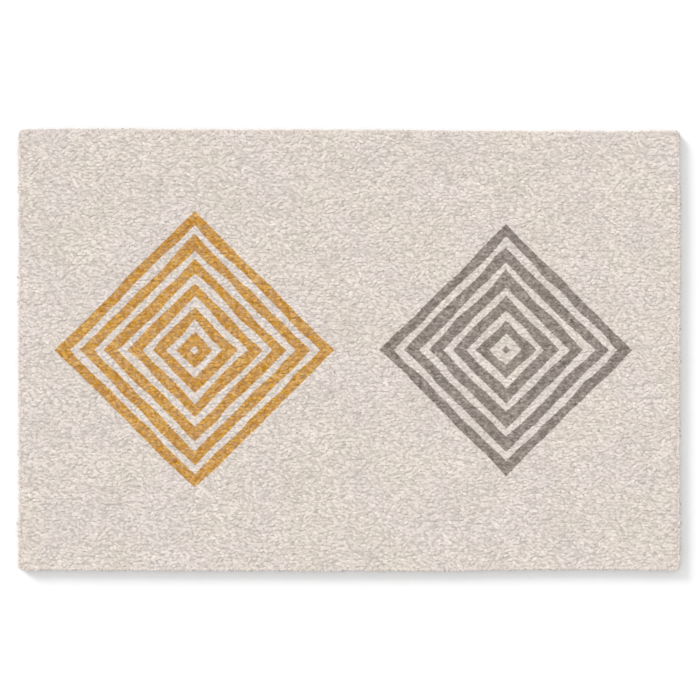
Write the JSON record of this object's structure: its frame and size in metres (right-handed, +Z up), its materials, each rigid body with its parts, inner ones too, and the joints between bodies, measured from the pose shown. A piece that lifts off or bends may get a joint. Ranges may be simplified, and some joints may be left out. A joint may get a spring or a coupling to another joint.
{
  "type": "doormat",
  "caption": "Flat rectangular doormat of short cut pile on a thin backing, with rolled pile edges and a flat underside.",
  "frame": {"origin": "on the floor, under the middle of the mat", "axes": "+X along the mat's width, +Y towards its back edge, +Z up out of the pile"},
  "size_m": [0.6006, 0.4016, 0.008],
  "materials": {
    "pile": "matte",
    "backing": "matte"
  },
  "bodies": {
    "root": {"mat": "pile"}
  },
  "joints": []
}
